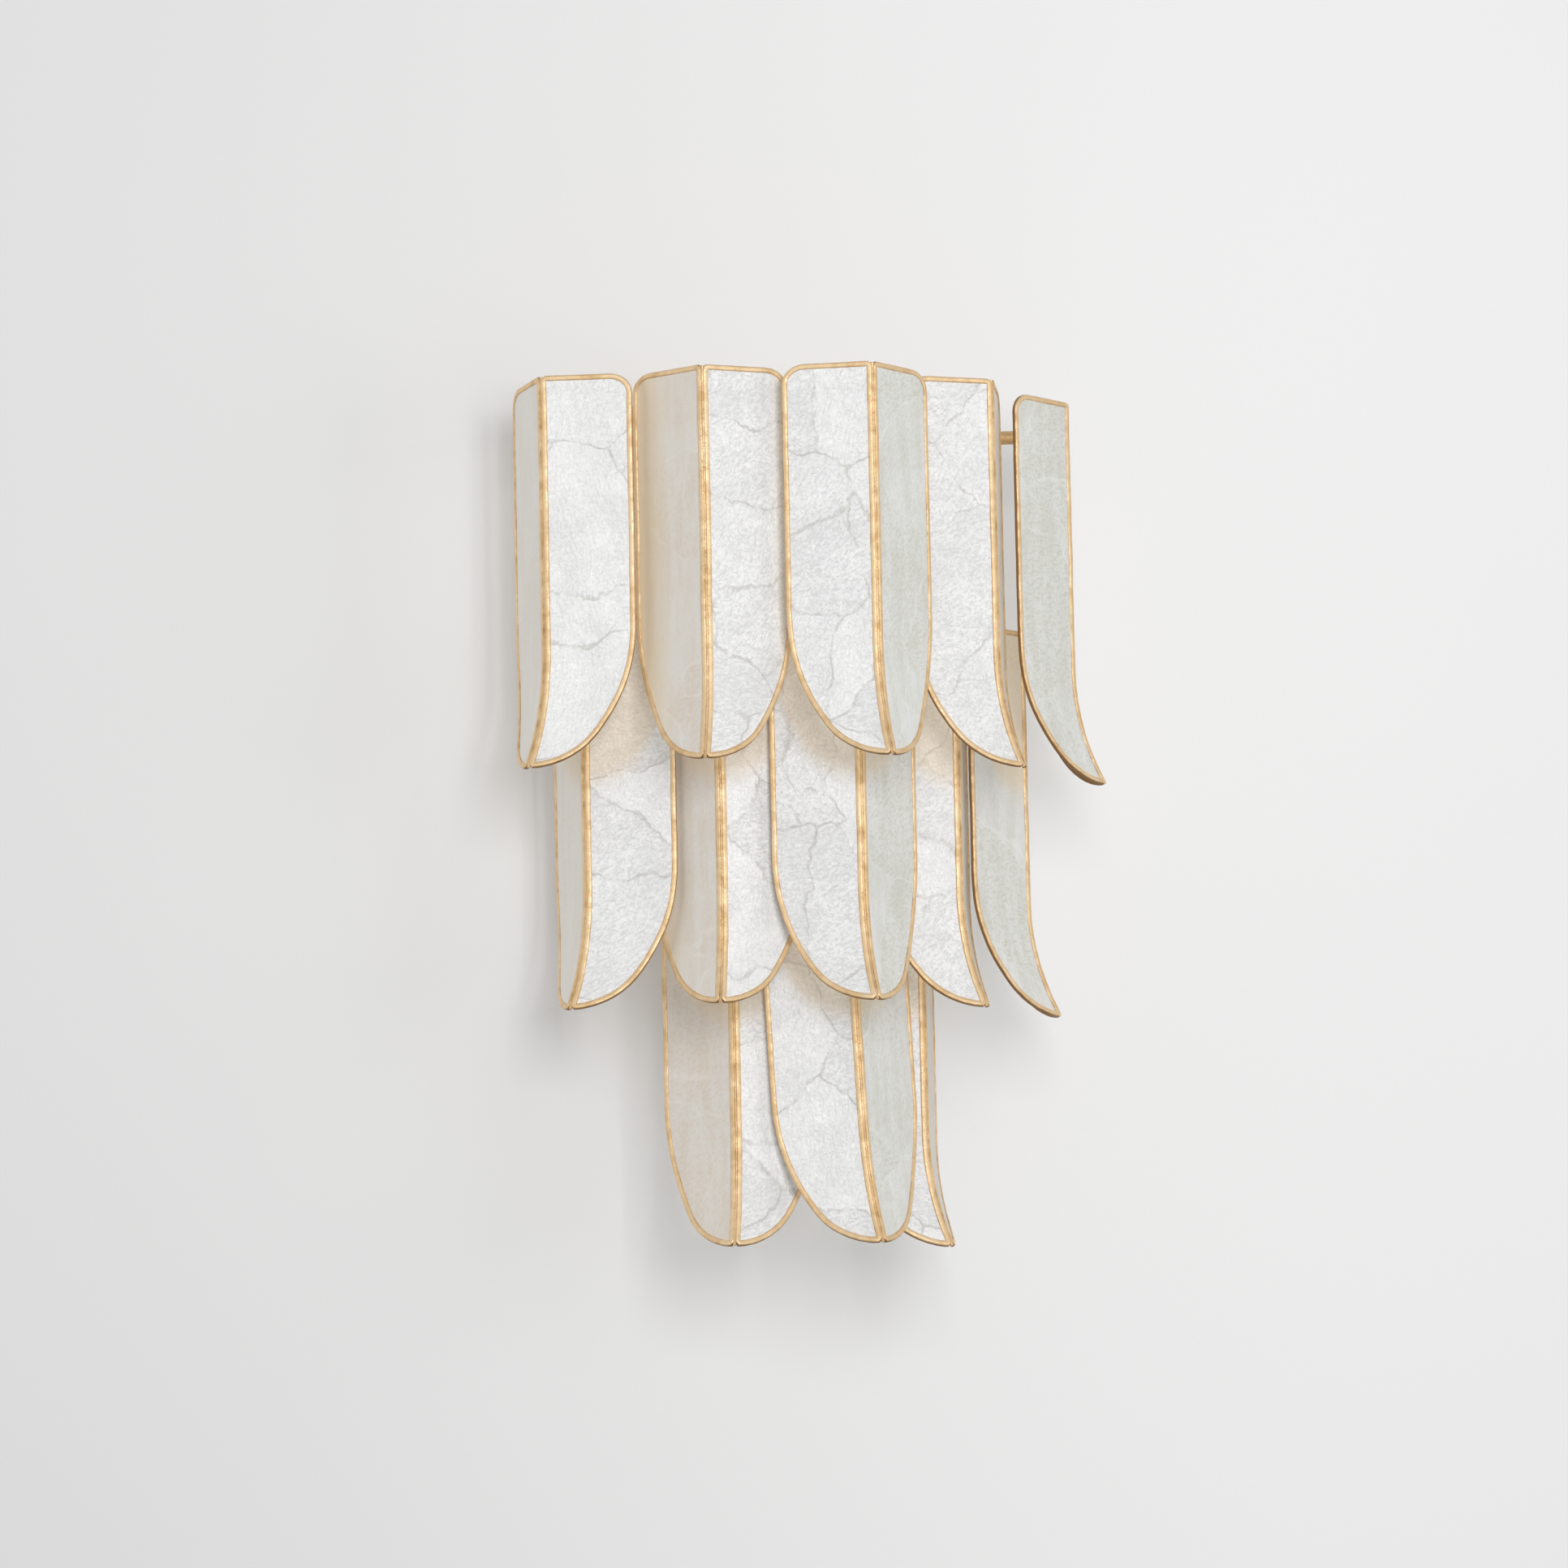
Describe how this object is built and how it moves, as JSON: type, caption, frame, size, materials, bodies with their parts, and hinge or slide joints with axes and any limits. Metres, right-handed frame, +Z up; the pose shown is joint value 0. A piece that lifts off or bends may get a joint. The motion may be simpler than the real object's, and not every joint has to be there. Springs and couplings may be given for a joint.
{
  "type": "shell wall sconce",
  "caption": "Wall sconce of folded, flared shell petals in gilt frames, hung in stepped tiers on flat hoops from a wall pan, with lamps inside.",
  "frame": {"origin": "the middle of the crossbar, where its back lies on the wall, midway between the two box screw slots", "axes": "+Z up along the wall, +Y into the wall, so the sconce faces -Y, and +X to the right of a person who faces it"},
  "size_m": [0.3698, 0.2116, 0.508],
  "materials": {
    "gilt": "gold leaf over metal, uneven, satin",
    "shell": "laminated capiz shell, pearly and translucent",
    "hoop_metal": "gold paint over steel flat bar",
    "pan_metal": "satin paint",
    "strap_steel": "zinc plated",
    "screw_steel": "zinc plated",
    "nut_brass": "satin",
    "bracket_steel": "zinc plated",
    "holder_plastic": "matte",
    "lamp_cap_metal": "plated",
    "lamp_glass": "frosted",
    "lead_sheath": "smooth sheath",
    "grommet_rubber": "matte",
    "block_plastic": "matte"
  },
  "bodies": {
    "root": {"upper_petal_1_frame": "gilt", "upper_petal_1_shell_left": "shell", "upper_petal_1_shell_right": "shell", "upper_petal_2_frame": "gilt", "upper_petal_2_shell_left": "shell", "upper_petal_2_shell_right": "shell", "upper_petal_3_frame": "gilt", "upper_petal_3_shell_left": "shell", "upper_petal_3_shell_right": "shell", "upper_petal_4_frame": "gilt", "upper_petal_4_shell_left": "shell", "upper_petal_4_shell_right": "shell", "upper_petal_5_frame": "gilt", "upper_petal_5_shell_left": "shell", "upper_petal_5_shell_right": "shell", "middle_petal_1_frame": "gilt", "middle_petal_1_shell_left": "shell", "middle_petal_1_shell_right": "shell", "middle_petal_2_frame": "gilt", "middle_petal_2_shell_left": "shell", "middle_petal_2_shell_right": "shell", "middle_petal_3_frame": "gilt", "middle_petal_3_shell_left": "shell", "middle_petal_3_shell_right": "shell", "middle_petal_4_frame": "gilt", "middle_petal_4_shell_left": "shell", "middle_petal_4_shell_right": "shell", "middle_petal_5_frame": "gilt", "middle_petal_5_shell_left": "shell", "middle_petal_5_shell_right": "shell", "lower_petal_1_frame": "gilt", "lower_petal_1_shell_left": "shell", "lower_petal_1_shell_right": "shell", "lower_petal_2_frame": "gilt", "lower_petal_2_shell_left": "shell", "lower_petal_2_shell_right": "shell", "lower_petal_3_frame": "gilt", "lower_petal_3_shell_left": "shell", "lower_petal_3_shell_right": "shell", "upper_hoop": "hoop_metal", "middle_hoop": "hoop_metal", "lower_hoop": "hoop_metal", "wall_pan": "pan_metal", "crossbar": "strap_steel", "machine_screws": "screw_steel", "cap_nuts": "nut_brass", "ground_screw": "screw_steel", "lamp_bracket_left": "bracket_steel", "lampholder_left": "holder_plastic", "lamp_cap_left": "lamp_cap_metal", "lamp_glass_left": "lamp_glass", "lamp_bracket_right": "bracket_steel", "lampholder_right": "holder_plastic", "lamp_cap_right": "lamp_cap_metal", "lamp_glass_right": "lamp_glass", "bracket_screws": "screw_steel", "lamp_leads": "lead_sheath", "grommets": "grommet_rubber", "terminal_block": "block_plastic"}
  },
  "joints": []
}
